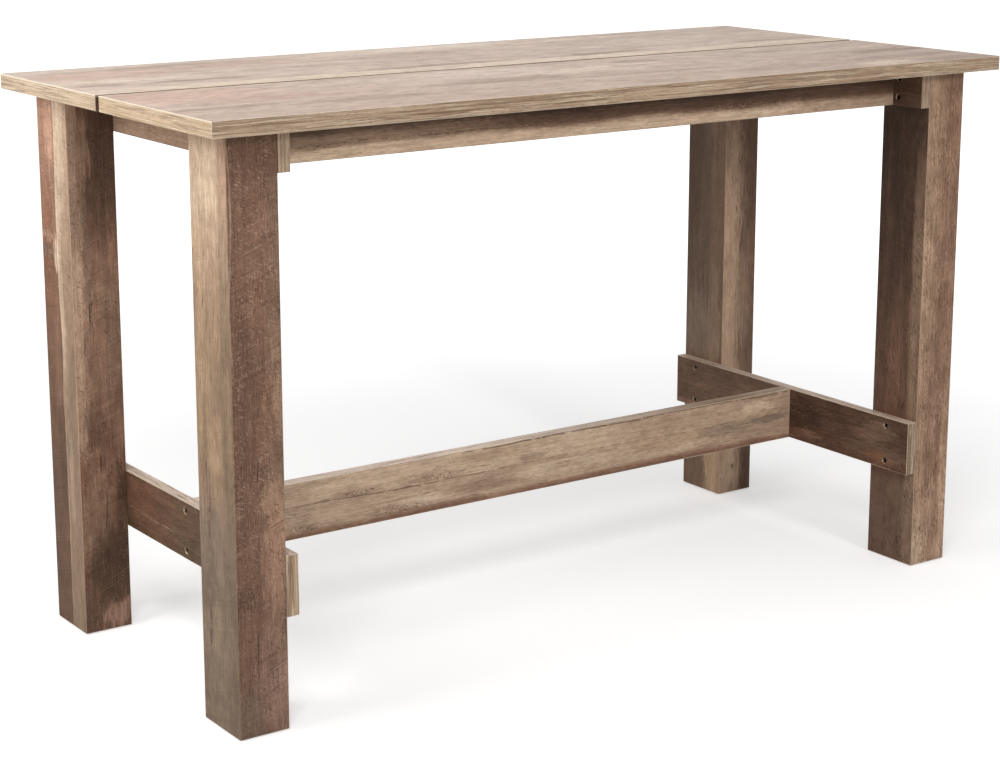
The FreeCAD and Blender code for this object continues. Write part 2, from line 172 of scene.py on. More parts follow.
class PlankPrint(Finish):
    """Weathered-plank paper on one board, in millimetres along and across its grain."""

    def __init__(self, node, along, across, tones, seed, long=300, wide=22):
        super().__init__(node + "_print", specular=0.1)
        self.node_name, self.seed = node, seed
        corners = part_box(node)
        parts = self.add("SeparateXYZ", self.place).node.outputs
        ways = []
        for way in (along, across):
            axis = "XYZ".index(way[1])
            sign = 1 if way[0] == "+" else -1
            start = corners[0 if sign > 0 else 1][axis] * MILLIMETRES
            ways.append(self.math("MULTIPLY_ADD", parts[axis], sign, -sign * start))
        through = next(axis for axis in "XYZ" if axis not in along + across)
        depth = parts["XYZ".index(through)]
        self.along, straight_across = ways
        self.place = self.add("CombineXYZ", self.along, straight_across, depth)
        wander = self.noise(170, 70, detail=3, seed=seed + 1)
        sway = wide / 5.5
        self.across = self.math("ADD", straight_across, self.step(wander, 0.25, 0.75, -sway, sway))
        tear = self.noise(wide * 1.9, wide * 0.41, detail=5, rough=0.6, seed=seed + 2, out=1)
        centred = self.add("VectorMath", tear, (0.5, 0.5, 0.5), operation="SUBTRACT")
        self.torn = self.add("VectorMath", centred, (wide * 3.2, wide, 0), self.place,
                             operation="MULTIPLY_ADD")
        hairs = self.noise(wide * 1.3, wide * 0.2, detail=7, rough=0.72, seed=seed + 6)
        self.fray = self.math("SUBTRACT", hairs, 0.5)
        self.colour = self.ramp(self.noise(long, wide, detail=8, rough=0.62, seed=seed), *tones)

    def wash(self, card, share, low=None, high=None, left=None, right=None, fade=60, edge=3):
        """Tints the part of the board within the given limits, which fade out in torn fibres."""
        torn = self.add("SeparateXYZ", self.torn)
        mask = share
        for value, limit, soft, rising in (
                (torn, low, fade, True), (torn, high, fade, False),
                (self.across, left, edge, True), (self.across, right, edge, False)):
            if limit is not None:
                loose = soft * 1.4 + 5
                frayed = self.math("MULTIPLY_ADD", self.fray, loose, value)
                ends = (limit - soft / 2, limit + soft / 2)
                within = self.step(frayed, *(ends if rising else ends[::-1]))
                mask = self.math("MULTIPLY", mask, within)
        self.tint(mask, card)

    def reach(self, along, across, long, wide):
        """The distance from one point, which is 1 on an oval long by wide mm about it."""
        held = self.add("Mapping", self.torn, (along, across, 0), (0, 0, 0),
                        (long / 2, wide / 2, ENDLESS), vector_type="TEXTURE")
        return self.add("VectorMath", held, operation="LENGTH", out=1)

    def patch(self, card, share, along, across, long, wide, soft=0.6):
        """A torn-edged patch of another tone, long by wide mm, about one point."""
        reach = self.reach(along, across, long, wide)
        frayed = self.math("MULTIPLY_ADD", self.fray, 2.6, reach)
        self.tint(self.math("MULTIPLY", self.step(frayed, 1 + soft / 2, 1 - soft / 2), share), card)

    def seam(self, card, share, across, low, high, width=1.2, broken=0.0):
        """A line along the grain, such as the joint of two printed planks or a crack."""
        off = self.math("ABSOLUTE", self.math("SUBTRACT", self.across, across))
        mask = self.math("MULTIPLY", self.step(off, width, width * 0.4), share)
        for outside, inside in ((low - 8, low + 8), (high + 8, high - 8)):
            mask = self.math("MULTIPLY", mask, self.step(self.along, outside, inside))
        if broken:
            gaps = self.noise(18, 40, detail=3, seed=self.seed + 7)
            gone = 0.3 + broken * 0.3
            mask = self.math("MULTIPLY", mask, self.step(gaps, gone, gone + 0.06))
        self.tint(mask, card)

    def knot(self, along, across, size, share=0.8):
        """A dark knot of the given width with grain rings drawn out round it."""
        reach = self.reach(along, across, size * 3.4, size * 1.6)
        rings = self.math("SINE", self.math("MULTIPLY", reach, 17))
        ring = self.math("MULTIPLY", self.step(rings, 0.1, 0.9), self.step(reach, 1.9, 0.5, 0, 0.45))
        core = self.step(reach, 0.62, 0.3)
        self.tint(self.math("MULTIPLY", self.math("MAXIMUM", core, ring), share), BARK)

    def crumbs(self, along, across, long, wide, share):
        """Dark and pale flecks about one point, where the printed wood has crumbled."""
        near = self.step(self.reach(along, across, long, wide), 1.3, 0.6, 0, share)
        self.tint(self.math("MULTIPLY", near, 0.35), WALNUT)
        flecks = self.noise(5, 2.2, detail=4, rough=0.7, seed=self.seed + 9)
        for card, low, high in (("CDB49B", 0.47, 0.38), (UMBER, 0.53, 0.60)):
            self.tint(self.math("MULTIPLY", near, self.step(flecks, low, high)), card)

    def saw_marks(self, tilt, share, pitch=9, low=None, right=None):
        """Straight lines that a saw left across the grain, rising to the right by tilt degrees."""
        turned = self.add("Mapping", self.place, (0, 0, 0), (0, 0, math.radians(tilt - 90)), (1, 1, 1))
        lines = self.noise(900, pitch, detail=2, rough=0.45, seed=self.seed + 11, place=turned)
        patchy = self.noise(60, 30, detail=5, rough=0.65, seed=self.seed + 12)
        there = self.math("MULTIPLY", self.step(patchy, 0.38, 0.60), share)
        for limit, value, fade in ((low, self.along, 40), (right, self.across, -2)):
            if limit is not None:
                there = self.math("MULTIPLY", there, self.step(value, limit - fade, limit + fade))
        for card, middle, wide, strength in ((BARK, 0.49, 0.024, 0.9), (SAND, 0.528, 0.020, 0.45)):
            off = self.math("ABSOLUTE", self.math("SUBTRACT", lines, middle))
            line = self.step(off, wide, wide * 0.25, 0, strength)
            self.tint(self.math("MULTIPLY", line, there), card)

    def ticks(self, card, share, long=7, wide=1.3, few=0.62, seed=0, low=None, tilt=0):
        """Short scratches or pores along the grain, or turned off it."""
        place = self.place
        if tilt:
            place = self.add("Mapping", place, (0, 0, 0), (0, 0, math.radians(-tilt)), (1, 1, 1))
        marks = self.noise(long, wide, detail=2, rough=0.5, seed=self.seed + 20 + seed, place=place)
        patchy = self.noise(60, 24, detail=4, rough=0.6, seed=self.seed + 40 + seed)
        tick = self.step(marks, few, few + 0.07)
        mask = self.math("MULTIPLY", tick, self.step(patchy, 0.38, 0.58, 0, share))
        if low is not None:
            mask = self.math("MULTIPLY", mask, self.step(self.along, low - 60, low + 60))
        self.tint(mask, card)

    def shade(self, value, depth):
        """Darkens and warms the print where a noise is low, and pales it where it is high."""
        dark = (1 - depth, 1 - 1.12 * depth, 1 - 1.22 * depth, 1)
        light = (1 + depth, 1 + 1.05 * depth, 1 + 1.10 * depth, 1)
        tint = self.mix(self.add("MapRange", value, 0.3, 0.7), dark, light)
        self.colour = self.mix(1.0, self.colour, tint, blend="MULTIPLY")

    def weather(self, streak=0.24, fibre=0.22, cloud=0.26):
        """Lays the grain over the tones: a cloudy weathering, streaks, fibres and pores."""
        clouds = self.noise(48, 24, detail=9, rough=0.72, seed=self.seed + 3)
        self.streaks = self.noise(110, 3.6, detail=6, rough=0.68, seed=self.seed + 4)
        self.fibres = self.noise(13, 1.0, detail=3, rough=0.6, seed=self.seed + 5)
        for value, depth in ((clouds, cloud), (self.streaks, streak), (self.fibres, fibre)):
            self.shade(value, depth)
        self.ticks(BARK, 0.55, long=10, wide=0.9, few=0.61, seed=3)

    def worn_highlit_corner(self, card=SAND, share=0.55):
        """A thin pale line where the paper folds over a corner: partly wear, partly a painted highlight.
        """
        normal = self.add("NewGeometry").node.outputs["Normal"]
        positive = self.add("VectorMath", normal, operation="ABSOLUTE")
        square = self.add("VectorMath", positive, operation="NORMALIZE")
        self.facing = self.add("SeparateXYZ", square).node.outputs
        sideways = self.math("MAXIMUM", self.facing[0], self.facing[1])
        widest = self.math("MAXIMUM", sideways, self.facing[2])
        self.tint(self.step(widest, FLAT, ROUND, 0, share), card)

    def raw_ends(self, axis):
        """Bare particle board on the faces sawn square to an axis."""
        sawn = self.step(self.facing["XYZ".index(axis)], ROUND, FLAT)
        self.colour = self.mix(sawn, self.colour, raw_board_colour(self))

    def raw_holes(self, places, width):
        """Bare particle board inside round holes, given by their centres along and across."""
        flat = self.add("VectorMath", self.place, (1, 1, 0), operation="MULTIPLY")
        nearest = None
        for along, across in places:
            away = self.add("VectorMath", flat, (along, across, 0), operation="DISTANCE", out=1)
            nearest = away if nearest is None else self.math("MINIMUM", nearest, away)
        inside = self.math("LESS_THAN", nearest, width / 2 + HOLE_SLACK)
        self.colour = self.mix(inside, self.colour, raw_board_colour(self))

    def paste(self, relief=0.35, low=0.46, high=0.62):
        """Ends the print with its matt sheen and fine embossed grain, and puts it on its board."""
        self.roughen(self.streaks, low, high)
        streaks = self.math("MULTIPLY", self.streaks, 0.6)
        fibres = self.math("MULTIPLY", self.fibres, 0.4)
        self.emboss(self.math("ADD", streaks, fibres), relief, 0.25)
        self.dress(self.node_name)


LEG_WIDTH, LEG_DEPTH, LEG_LENGTH = 82, 110, 888
PANEL_ACROSS = {"front": "+X", "back": "-X"}
SIDE_ACROSS = {"left": {"outer": "-Y", "inner": "+Y"}, "right": {"outer": "+Y", "inner": "-Y"}}


def leg_paper(leg, face, tones, seed):
    """Paper for one leg panel: up from the foot, and across from its left edge seen from outside."""
    across = PANEL_ACROSS.get(face) or SIDE_ACROSS[leg.split("_")[1]][face]
    return PlankPrint(f"leg_{leg}_{face}_panel", "+Z", across, tones, seed)


def paste_on_leg(paper, streak=0.24, fibre=0.22, cloud=0.26, corner=SAND, corner_highlight_share=0.55):
    """Ends a leg panel's print with grain, worn corners with a painted highlight, and raw sawn ends."""
    paper.weather(streak, fibre, cloud)
    paper.worn_highlit_corner(corner, corner_highlight_share)
    paper.raw_ends("Z")
    paper.paste()


def front_left_outer():
    """Sand at the head to taupe at the foot, partly painted light, with drips, dashes and a straw patch.
    """
    paper = leg_paper("front_left", "outer", ("806C57", "967E64", "9C8468"), 21)
    # Paler towards the head: partly print, partly painted light.
    paper.wash(SAND, 0.50, low=620, fade=280)
    paper.wash(CREAM, 0.35, low=740, fade=120, right=84, edge=22)
    paper.patch(CREAM, 0.33, 808, 46, 84, 48, soft=0.3)
    paper.patch(CREAM, 0.30, 850, 42, 34, 40)
    paper.patch(SAND, 0.35, 700, 54, 130, 30)
    for across, length in ((24, 90), (40, 130), (55, 70), (68, 110)):
        paper.patch(SAND, 0.55, 735, across, length, 8)
    paper.patch(ROSE, 0.30, 820, 98, 130, 30)
    paper.patch(STRAW, 0.50, 600, 20, 160, 22)
    paper.patch(TAUPE, 0.65, 500, 70, 130, 36)
    paper.patch(STRAW, 0.80, 425, 56, 90, 52)
    # Darker towards the foot: partly print, partly painted light falling off down the leg.
    paper.wash(TAUPE, 0.75, high=380, fade=180)
    paper.wash("6B6053", 0.50, high=320, fade=140)
    paper.wash("6E5C4A", 0.50, left=80, edge=30, high=740, fade=240)
    paper.patch("94806A", 0.60, 152, 46, 90, 28)
    paper.patch("8A7866", 0.45, 290, 56, 130, 26)
    paper.seam(UMBER, 0.65, 27, 632, 648, 3.0, broken=0.2)
    paper.seam(UMBER, 0.55, 27, 350, 405, 2.8, broken=0.3)
    paper.seam(UMBER, 0.80, 31, 268, 336, 4.0, broken=0.5)
    paper.seam(UMBER, 0.80, 31, 112, 178, 4.0, broken=0.5)
    paper.seam(BARK, 0.6, 96, 752, 758, 2.2)
    paper.saw_marks(12, 0.16, pitch=7)
    paste_on_leg(paper, streak=0.20, fibre=0.20, cloud=0.30, corner_highlight_share=0.1)


def front_left_front():
    """Dark red-brown with slanting saw marks and pale scratches, tan along the right edge."""
    paper = leg_paper("front_left", "front", (UMBER, WALNUT, WALNUT, TAUPE), 34)
    paper.wash(TAUPE, 0.55, left=56, edge=24, high=800)
    paper.patch(RUSSET, 0.40, 690, 40, 220, 60)
    paper.patch(FAWN, 0.90, 494, 78, 104, 26)
    paper.patch(FAWN, 0.55, 590, 74, 60, 26)
    paper.patch(RUSSET, 0.40, 490, 46, 130, 50)
    paper.patch(FAWN, 0.80, 340, 66, 110, 40)
    paper.patch("A88470", 0.70, 272, 66, 160, 40, soft=1.2)
    paper.patch(UMBER, 0.75, 212, 12, 36, 34)
    paper.patch(UMBER, 0.45, 520, 22, 180, 44)
    paper.patch("9A7D6E", 0.48, 90, 58, 170, 54)
    paper.wash(SLATE, 0.45, high=70, right=40, edge=16)
    paper.saw_marks(21, 0.40, pitch=13)
    paper.saw_marks(20, 0.28, pitch=6, low=380)
    paper.ticks(UMBER, 0.75, long=9, wide=1.8, few=0.57, seed=5, tilt=-58)
    paper.ticks(SAND, 0.50, long=5, wide=1.4, few=0.60)
    paper.ticks(SAND, 0.52, long=9, wide=1.3, few=0.59, seed=1, tilt=-64, low=200)
    paper.ticks(BARK, 0.60, long=26, wide=1.6, few=0.60, seed=6)
    paper.seam(BARK, 0.7, 40, 386, 418, 1.8)
    paper.seam(BARK, 0.6, 31, 92, 166, 1.2, broken=0.2)
    paper.seam(SAND, 0.45, 1.5, 560, 888, 1.8)
    paper.knot(685, 5, 5, 0.9)
    paste_on_leg(paper, streak=0.20, fibre=0.26, cloud=0.24, corner_highlight_share=0.15)


def back_left_outer():
    """Two planks: pink-brown and saw-marked left, pale sand right; darker lower down, partly painted
    light.
    """
    paper = leg_paper("back_left", "outer", (FAWN, FAWN, SAND), 47)
    # Paler at the head and darker lower down: partly print, partly painted light falling off.
    paper.wash(CREAM, 0.55, low=700, fade=220, left=60)
    paper.wash(CREAM, 0.35, low=380, fade=200, left=60, right=76, edge=6)
    paper.wash(FAWN, 0.45, left=86, edge=12, high=740, fade=160)
    paper.patch(CREAM, 0.40, 490, 68, 130, 20)
    paper.wash("7F6A56", 0.55, high=500, fade=280, left=60)
    paper.wash(FAWN, 0.50, left=94, edge=10, low=300, fade=200)
    paper.patch(CREAM, 0.20, 250, 78, 170, 14)
    paper.patch("7F6A56", 0.55, 370, 97, 240, 22)
    paper.wash(RUSSET, 1.0, right=59, edge=2)
    # The left plank paler at the head and darker towards the foot: partly print, partly painted light.
    paper.wash("C0937B", 0.50, low=800, right=59, fade=160, edge=2)
    paper.wash("7B5843", 0.90, right=59, high=665, fade=130, edge=2)
    paper.wash("5E4630", 0.75, right=59, high=500, fade=300, edge=2)
    paper.patch(BARK, 0.35, 280, 46, 180, 30)
    paper.patch("5C4434", 0.60, 160, 16, 340, 38)
    paper.patch(RUSSET, 0.35, 460, 44, 200, 26)
    paper.patch("86583F", 0.50, 645, 22, 210, 46)
    paper.patch("D8AC92", 0.50, 830, 42, 120, 30)
    paper.patch(WALNUT, 0.8, 634, 20, 26, 52)
    paper.patch("6A4A3A", 0.35, 595, 18, 90, 34)
    paper.patch(CREAM, 0.65, 622, 53, 50, 20)
    paper.patch(ROSE, 0.6, 655, 30, 12, 60)
    paper.saw_marks(15, 0.28, pitch=9, right=58)
    paper.ticks(CREAM, 0.5, long=12, wide=1.6, few=0.62, seed=1, tilt=-72, low=560)
    paper.ticks(BARK, 0.55, long=14, wide=1.6, few=0.60, seed=2, tilt=-72, low=500)
    paper.seam(UMBER, 0.40, 59, 0, 880, 1.4)
    paper.seam(CREAM, 0.22, 62, 40, 880, 1.8)
    paper.seam(BARK, 0.6, 44, 858, 874, 2.0)
    paper.seam(BARK, 0.6, 54, 258, 276, 2.4)
    paste_on_leg(paper, streak=0.15, fibre=0.14, cloud=0.28, corner_highlight_share=0.3)


def back_left_front():
    """Dark brown with a paler strip down the left, a cracked tan stretch, a smudged foot and painted
    shadows.
    """
    paper = leg_paper("back_left", "front", (WALNUT, WALNUT, RUSSET, TAUPE), 58)
    # Darker over the head, right of the pale strip: dark print deepened with painted shadow of the top.
    paper.wash(UMBER, 0.75, low=660, fade=120, left=22, edge=8)
    paper.wash(BARK, 0.15, low=770, fade=60, left=34, edge=8)
    paper.wash(SAND, 0.70, right=16, low=310, edge=6)
    paper.wash(WALNUT, 0.60, high=330, fade=120)
    paper.wash(UMBER, 0.55, high=190, fade=100)
    paper.patch(BARK, 0.50, 110, 68, 130, 60)
    # Painted shadow of the lower end rail along the right edge.
    paper.patch(BARK, 0.45, 240, 76, 110, 22)
    paper.patch(SAND, 0.55, 560, 12, 260, 20)
    paper.patch(FAWN, 0.70, 390, 12, 150, 24)
    paper.patch(FAWN, 0.45, 170, 10, 140, 20)
    paper.patch(FAWN, 0.75, 800, 26, 110, 24)
    paper.patch(TAUPE, 0.60, 705, 14, 110, 26)
    paper.patch(SAND, 0.50, 520, 8, 300, 10)
    paper.patch(TAUPE, 0.70, 500, 52, 220, 64)
    paper.patch(RUSSET, 0.45, 490, 40, 120, 30)
    paper.patch(UMBER, 0.60, 346, 34, 84, 44)
    paper.patch(WALNUT, 0.25, 360, 60, 100, 50)
    paper.patch(FAWN, 0.35, 215, 36, 120, 40)
    paper.patch(UMBER, 0.90, 108, 54, 120, 84)
    paper.patch(ROSE, 0.50, 25, 58, 50, 50)
    paper.saw_marks(22, 0.26, pitch=12)
    paper.ticks(FAWN, 0.40, long=5, wide=1.6, few=0.60, seed=1)
    paper.ticks(BARK, 0.50, long=8, wide=1.8, few=0.58, seed=5, tilt=-60)
    paper.seam(BARK, 0.9, 31, 518, 552, 1.6)
    paper.knot(550, 31, 5, 0.9)
    paper.seam(BARK, 0.8, 36, 274, 298, 1.8)
    paper.seam(BARK, 0.7, 43, 172, 236, 1.5)
    paste_on_leg(paper, streak=0.20, fibre=0.20, cloud=0.30, corner_highlight_share=0.3)


def back_right_inner():
    """Grey-brown with fine upright streaks, painted shade high along the back edge, pale at the front
    foot.
    """
    paper = leg_paper("back_right", "inner", (TAUPE, TAUPE, FAWN), 63)
    paper.wash(SLATE, 0.35)
    # Painted shade under the top: darker high up along the back edge.
    paper.wash(UMBER, 0.60, right=40, edge=44, low=460, fade=340)
    paper.wash(FAWN, 0.35, high=380, fade=160)
    paper.wash(FAWN, 0.60, left=74, edge=20, low=430, fade=160)
    paper.patch(SAND, 0.45, 330, 84, 240, 34)
    paper.patch("9A8878", 0.55, 330, 38, 150, 70)
    paper.patch("C8AA8E", 0.85, 70, 90, 220, 54, soft=0.4)
    paper.wash(UMBER, 0.25, right=58, edge=12, high=200, fade=60)
    paper.seam(BARK, 0.4, 50, 370, 500, 1.0, broken=0.3)
    paste_on_leg(paper, streak=0.16, fibre=0.12, cloud=0.20, corner=TAUPE)


def back_right_front():
    """Warm tan down the left with a few cracks, dark brown to the right and head, partly painted shadow.
    """
    paper = leg_paper("back_right", "front", (FAWN, ROSE, SAND), 75)
    paper.wash("D6BA9D", 0.62, right=42, edge=26, high=740, fade=140)
    paper.wash(TAUPE, 0.70, left=48, edge=30)
    # Painted shadow of the top: darker down the right side's upper part and over the head.
    paper.wash(UMBER, 0.50, left=40, edge=40, low=500, fade=300)
    paper.wash(UMBER, 0.60, low=710, fade=160)
    paper.patch(TAUPE, 0.20, 640, 16, 160, 30)
    paper.patch(SAND, 0.45, 380, 52, 160, 30)
    paper.patch(ROSE, 0.4, 440, 62, 140, 30)
    paper.patch(CREAM, 0.15, 50, 22, 90, 44)
    paper.wash("3E3028", 0.60, left=54, edge=16, high=190, fade=60)
    paper.seam(BARK, 0.55, 44, 262, 330, 1.4, broken=0.2)
    paper.seam(UMBER, 0.5, 34, 280, 330, 1.0, broken=0.4)
    paper.knot(569, 31, 4, 0.8)
    paper.knot(488, 33, 3, 0.8)
    paper.knot(60, 34, 6, 0.7)
    paste_on_leg(paper, streak=0.16, fibre=0.12, cloud=0.26)


def front_right_inner():
    """Dark brown with reddish stretches, a painted slanting shadow at the head, a paler plank at right.
    """
    paper = leg_paper("front_right", "inner", (UMBER, UMBER, WALNUT), 82)
    paper.wash(WALNUT, 0.75, high=480, fade=200)
    # Painted shadow of the top: dark across the head, narrowing towards the back edge lower down.
    paper.patch(BARK, 0.55, 800, 56, 320, 130, soft=1.0)
    paper.patch(BARK, 0.45, 620, 24, 330, 80, soft=1.0)
    paper.patch(UMBER, 0.50, 400, 14, 220, 50, soft=1.0)
    paper.patch(RUSSET, 0.25, 340, 50, 180, 40)
    paper.wash(TAUPE, 0.85, left=85, edge=10, high=740, fade=100)
    paper.wash(FAWN, 0.50, left=88, edge=8, high=620, fade=100)
    paper.patch(ROSE, 0.30, 60, 90, 120, 30)
    paper.patch(FAWN, 0.40, 440, 92, 130, 26)
    paper.seam(BARK, 0.7, 68, 280, 360, 1.4)
    paper.seam(BARK, 0.5, 80, 300, 480, 1.0, broken=0.4)
    paper.wash("6B5A4E", 0.40, high=150, fade=40)
    paper.knot(44, 70, 5, 0.8)
    paper.ticks(BARK, 0.7, long=12, wide=2.0, few=0.58, seed=1, tilt=-40)
    paper.ticks(RUSSET, 0.22, long=10, wide=1.8, few=0.60, seed=2, tilt=-50)
    paste_on_leg(paper, streak=0.18, fibre=0.22, cloud=0.27, corner=FAWN, corner_highlight_share=0.5)


def front_right_front():
    """Tan-brown with short grain and pinkish patches, sand at the left edge, redder on the right."""
    paper = leg_paper("front_right", "front", (TAUPE, FAWN, FAWN, SAND), 96)
    paper.wash(SAND, 0.35, right=18, edge=16)
    paper.wash(RUSSET, 0.45, left=44, edge=18, low=150)
    paper.patch(ROSE, 0.40, 340, 40, 160, 50)
    paper.patch(ROSE, 0.25, 60, 42, 140, 60)
    paper.patch(SAND, 0.35, 285, 68, 110, 24)
    paper.patch(WALNUT, 0.40, 640, 58, 420, 36)
    paper.patch(WALNUT, 0.45, 300, 44, 320, 40)
    paper.patch(CREAM, 0.35, 30, 18, 120, 40)
    paper.wash("C2A48C", 0.70, left=60, edge=6, high=240, fade=60)
    paper.ticks(WALNUT, 0.9, long=10, wide=2.4, few=0.56, seed=1, tilt=-20)
    paper.ticks(SAND, 0.6, long=7, wide=1.8, few=0.60, seed=2)
    paste_on_leg(paper, streak=0.26, fibre=0.30, cloud=0.46)


def plain_side(leg, face, seed):
    """A panel turned away from the front: the same paper, cut elsewhere from its roll."""
    draw = random.Random(seed)
    tones = draw.choice(((TAUPE, FAWN, SAND), (UMBER, WALNUT, TAUPE), (WALNUT, TAUPE, FAWN)))
    paper = leg_paper(leg, face, tones, seed)
    width = LEG_WIDTH if face in PANEL_ACROSS else LEG_DEPTH
    plank = draw.uniform(0.35, 0.65) * width
    paper.wash(draw.choice((SAND, RUSSET, SLATE)), 0.55, left=plank, edge=3)
    paper.seam(UMBER, 0.5, plank, 0, LEG_LENGTH, 1.2)
    for card in (RUSSET, FAWN, UMBER, SLATE):
        paper.patch(card, draw.uniform(0.4, 0.7), draw.uniform(60, 820), draw.uniform(10, width - 10),
                    draw.uniform(90, 220), draw.uniform(24, 56))
    for _ in range(2):
        low = draw.uniform(60, 760)
        paper.seam(BARK, 0.6, draw.uniform(12, width - 12), low, low + draw.uniform(30, 90), 1.4)
    paper.knot(draw.uniform(100, 780), draw.uniform(16, width - 16), draw.uniform(4, 8), 0.7)
    paper.saw_marks(draw.uniform(10, 22), 0.5, pitch=9, low=draw.uniform(150, 500))
    paste_on_leg(paper)


front_left_outer()
front_left_front()
back_left_outer()
back_left_front()
back_right_inner()
back_right_front()
front_right_inner()
front_right_front()
SIDES_TURNED_AWAY = (("front_left", "inner"), ("back_left", "inner"),
                     ("back_right", "outer"), ("front_right", "outer"))
for number, (leg, side) in enumerate(SIDES_TURNED_AWAY):
    plain_side(leg, side, 110 + 26 * number)
    plain_side(leg, "back", 123 + 26 * number)

# Leg inserts
# Turned brass sockets with a coarse outer thread, driven through the inner panels into the
# legs' blocks. The bolts of the end rails screw into them.

brass = Finish("insert_brass", roughness=0.35, metallic=1.0, specular=0.5)
brass.colour = brass.ramp(brass.noise(3, 3, detail=4), "9C8148", "B99B5B", "CDB272")
brass.roughen(brass.noise(5, 0.6, detail=2), 0.28, 0.46)
brass.dress("leg_inserts")

# Lower end rails
# A board across the inner faces of each pair of legs, printed on both faces, with printed bands
# glued over its four cut edges. Its counterbored bolt holes show the raw board inside.

BOLT_INSET = 14.5
BOLT_HOLE = 12.0
BAND_THICKNESS = 1.0
OAK_DARK, OAK, OAK_PALE, OAK_CUT = "755E49", "AB9077", "C8AF93", "E0D0BA"


class BandPrint(Finish):
    """Plastic edge bands of one board, printed with fine oak lines that run along each band.

    The board's length, the way along its end bands and its thickness are named by their axes.
    """

    def __init__(self, node, length, ends, across, seed, pitch=2.8, end_card=None, end_share=0.0,
                 gap_shade_lip_highlight=0.0, top_light_card=None, top_light_share=0.0, top_light_far_share=None, thin_shade_card=None,
                 corner_highlight_share=0.4):
        super().__init__(node + "_print", specular=0.25)
        length, ends, across = ("XYZ".index(axis) for axis in (length, ends, across))
        normal = self.add("NewGeometry").node.outputs["Normal"]
        positive = self.add("VectorMath", normal, operation="ABSOLUTE")
        facing = self.add("SeparateXYZ", positive).node.outputs
        parts = self.add("SeparateXYZ", self.place).node.outputs
        at_end = self.step(facing[length], 0.5, 0.6)
        long_way = self.add("CombineXYZ", parts[length], parts[across], 0)
        end_way = self.add("CombineXYZ", parts[ends], parts[across], 40)
        self.place = self.add("Mix", at_end, None, None, None, long_way, end_way, out=1,
                              data_type="VECTOR")
        wander = self.noise(90, 26, detail=4, rough=0.6, seed=seed + 1, out=1)
        centred = self.add("VectorMath", wander, (0.5, 0.5, 0.5), operation="SUBTRACT")
        self.place = self.add("VectorMath", centred, (0, 4, 0), self.place, operation="MULTIPLY_ADD")
        tone = self.noise(260, 4, detail=6, rough=0.62, seed=seed)
        self.colour = self.ramp(tone, OAK_DARK, OAK, OAK_PALE)
        low, high = (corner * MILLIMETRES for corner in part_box(node))
        # Painted light on the bands' upward faces, its share running from one end of the board to the
        # other.
        if top_light_card:
            upward = self.step(facing[2], 0.5, 0.6)
            last_share = top_light_share if top_light_far_share is None else top_light_far_share
            share = self.add("MapRange", parts[length], low[length], high[length], top_light_share, last_share)
            self.tint(self.math("MULTIPLY", upward, share), top_light_card)
        if end_card:
            self.tint(self.math("MULTIPLY", at_end, end_share), end_card)
        lines = self.noise(190, pitch, detail=3, rough=0.55, seed=seed + 2)
        patchy = self.noise(45, 12, detail=3, seed=seed + 3)
        for card, middle, wide, strength in ((OAK_DARK, 0.47, 0.05, 0.85), (OAK_CUT, 0.56, 0.04, 0.6)):
            ridge = self.math("ABSOLUTE", self.math("SUBTRACT", lines, middle))
            line = self.step(ridge, wide, wide * 0.2)
            there = self.step(patchy, 0.30, 0.52, 0.3, strength)
            self.tint(self.math("MULTIPLY", line, there), card)
        flecks = self.noise(6, 0.9, detail=2, seed=seed + 4)
        self.tint(self.step(flecks, 0.58, 0.66, 0, 0.55), OAK_DARK)
        # Painted shade deeper down in the gap between the boards, and a painted highlight atop the end
        # bands.
        if gap_shade_lip_highlight:
            gap_side = min(abs(low.y), abs(high.y))
            inside = self.step(self.math("ABSOLUTE", parts[1]), gap_side + 1.5, gap_side + 0.8)
            gap_shade = self.step(parts[2], high.z - 1, high.z - 5, 0.35, 0.85)
            self.tint(self.math("MULTIPLY", inside, gap_shade), "442C17")
            lip = self.step(parts[2], high.z - 2.4, high.z - 1.2, 0, gap_shade_lip_highlight)
            self.tint(self.math("MULTIPLY", at_end, lip), "F2E6D2")
        # A pale line on the bands' corners: partly wear, partly a painted highlight.
        widest = self.math("MAXIMUM", self.math("MAXIMUM", facing[0], facing[1]), facing[2])
        self.tint(self.step(widest, FLAT, ROUND, 0, corner_highlight_share), OAK_CUT)
        # Painted shade on the bands' thin sides.
        if thin_shade_card:
            self.tint(self.step(facing[across], 0.25, 0.6), thin_shade_card)
        self.roughen(lines, 0.42, 0.58)
        self.emboss(self.noise(60, 0.8, detail=2, seed=seed + 5), 0.3, 0.15)
        self.dress(node)


def end_rail_holes(node):
    """Centres of an end rail's bolt holes, along from its back end and up from its lower edge."""
    low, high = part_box(node)
    leg_low, leg_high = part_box("leg_front_left_outer_panel")
    leg_middle = (high.y + (leg_low.y + leg_high.y) / 2) * MILLIMETRES
    depth, height = (high.y - low.y) * MILLIMETRES, (high.z - low.z) * MILLIMETRES
    lower_row = BOLT_INSET - BAND_THICKNESS
    rows = (lower_row, height - lower_row)
    columns = (leg_middle, depth - leg_middle) + ((depth / 2,) if node.startswith("lower") else ())
    return [(column, row) for column in columns for row in rows]


